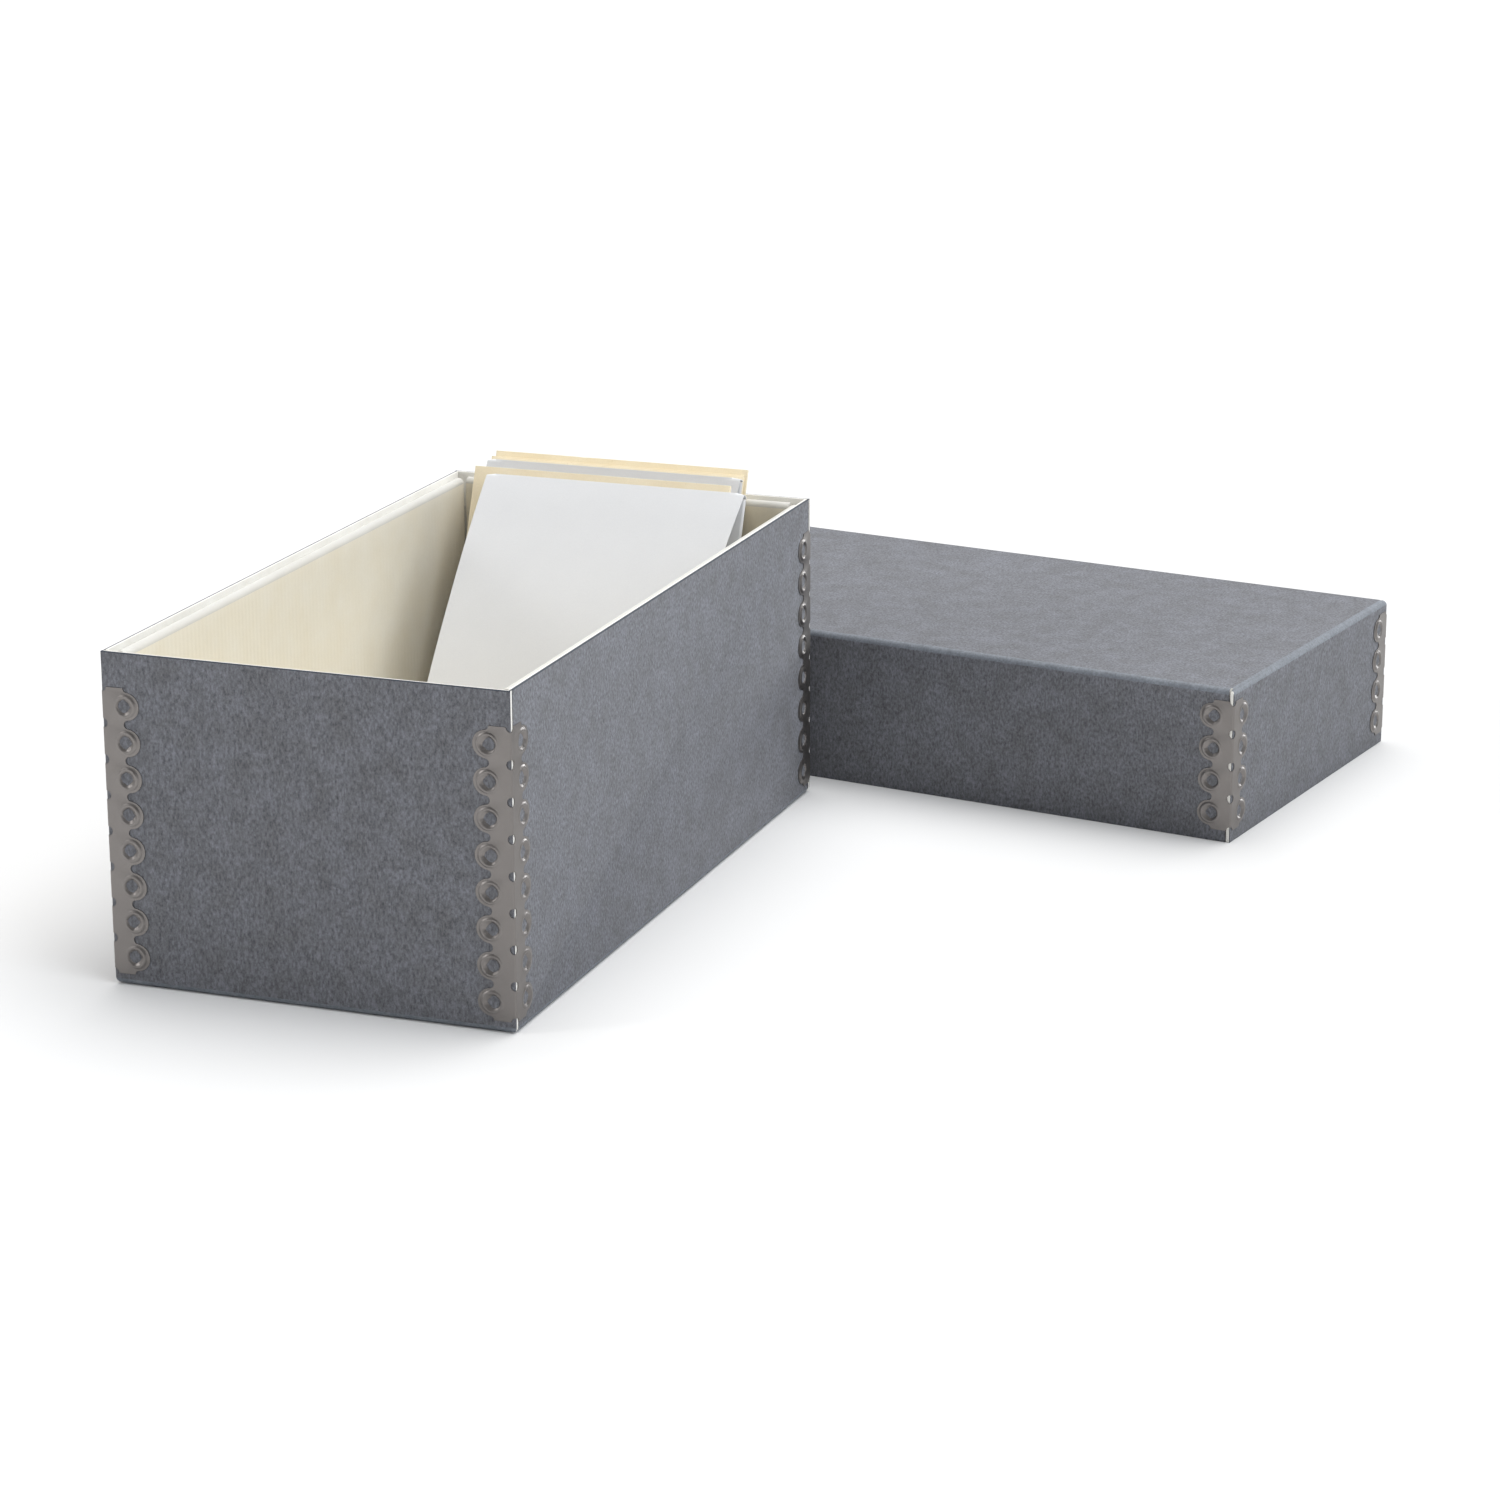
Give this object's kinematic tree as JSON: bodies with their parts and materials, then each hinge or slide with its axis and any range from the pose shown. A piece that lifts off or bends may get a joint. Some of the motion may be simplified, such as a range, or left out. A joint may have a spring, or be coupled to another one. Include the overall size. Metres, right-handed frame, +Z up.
{
  "type": "archival box",
  "caption": "Metal-edge board box with a lift-off lid, fold-over liner and leaning paper enclosures and stiffener boards for glass plates.",
  "frame": {"origin": "centre of the base's underside, on the surface that the box stands on", "axes": "+Z up, +X across the box, -Y towards the base's front end"},
  "size_m": [0.3469, 0.4855, 0.1283],
  "materials": {
    "grey_board": "fibrous blue-grey solid board, matt",
    "metal_edge": "satin",
    "liner_board": "ivory fluted board, matt",
    "cream_board": "smooth cream board, matt",
    "white_paper": "matt white paper"
  },
  "bodies": {
    "base": {"base_tray": "grey_board", "base_metal_edge_front_left": "metal_edge", "base_metal_edge_front_right": "metal_edge", "base_metal_edge_back_right": "metal_edge", "base_metal_edge_back_left": "metal_edge", "liner": "liner_board"},
    "lid": {"lid_tray": "grey_board", "lid_metal_edge_front_left": "metal_edge", "lid_metal_edge_front_right": "metal_edge", "lid_metal_edge_back_right": "metal_edge", "lid_metal_edge_back_left": "metal_edge"},
    "rear_stiffener": {"rear_stiffener_board": "cream_board"},
    "middle_stiffener": {"middle_stiffener_board": "cream_board"},
    "front_stiffener": {"front_stiffener_board": "cream_board"},
    "rear_enclosure": {"rear_enclosure": "white_paper", "rear_enclosure_flap": "white_paper"},
    "divider": {"divider_board": "cream_board"},
    "front_enclosure": {"front_enclosure": "white_paper"},
    "front_flap": {"front_enclosure_flap": "white_paper"}
  },
  "joints": [
    {"name": "lid_lift", "type": "slide", "parent": "base", "child": "lid", "axis": [0, 0, 1], "range_m": [0, 0.13]},
    {"name": "rear_stiffener_lift", "type": "slide", "parent": "base", "child": "rear_stiffener", "axis": [0, 0.3584, 0.9336], "range_m": [0, 0.128]},
    {"name": "middle_stiffener_lift", "type": "slide", "parent": "base", "child": "middle_stiffener", "axis": [0, 0.3584, 0.9336], "range_m": [0, 0.128]},
    {"name": "front_stiffener_lift", "type": "slide", "parent": "base", "child": "front_stiffener", "axis": [0, 0.3584, 0.9336], "range_m": [0, 0.128]},
    {"name": "rear_enclosure_lift", "type": "slide", "parent": "base", "child": "rear_enclosure", "axis": [0, 0.3584, 0.9336], "range_m": [0, 0.128]},
    {"name": "divider_lift", "type": "slide", "parent": "base", "child": "divider", "axis": [0, 0.3584, 0.9336], "range_m": [0, 0.128]},
    {"name": "front_enclosure_lift", "type": "slide", "parent": "base", "child": "front_enclosure", "axis": [0, 0.3584, 0.9336], "range_m": [0, 0.128]},
    {"name": "front_flap_fold", "type": "hinge", "parent": "front_enclosure", "child": "front_flap", "pos_m": [0.009, 0.10913, 0.12473], "axis": [-1, 0, 0], "range_deg": [-17, 140]}
  ]
}
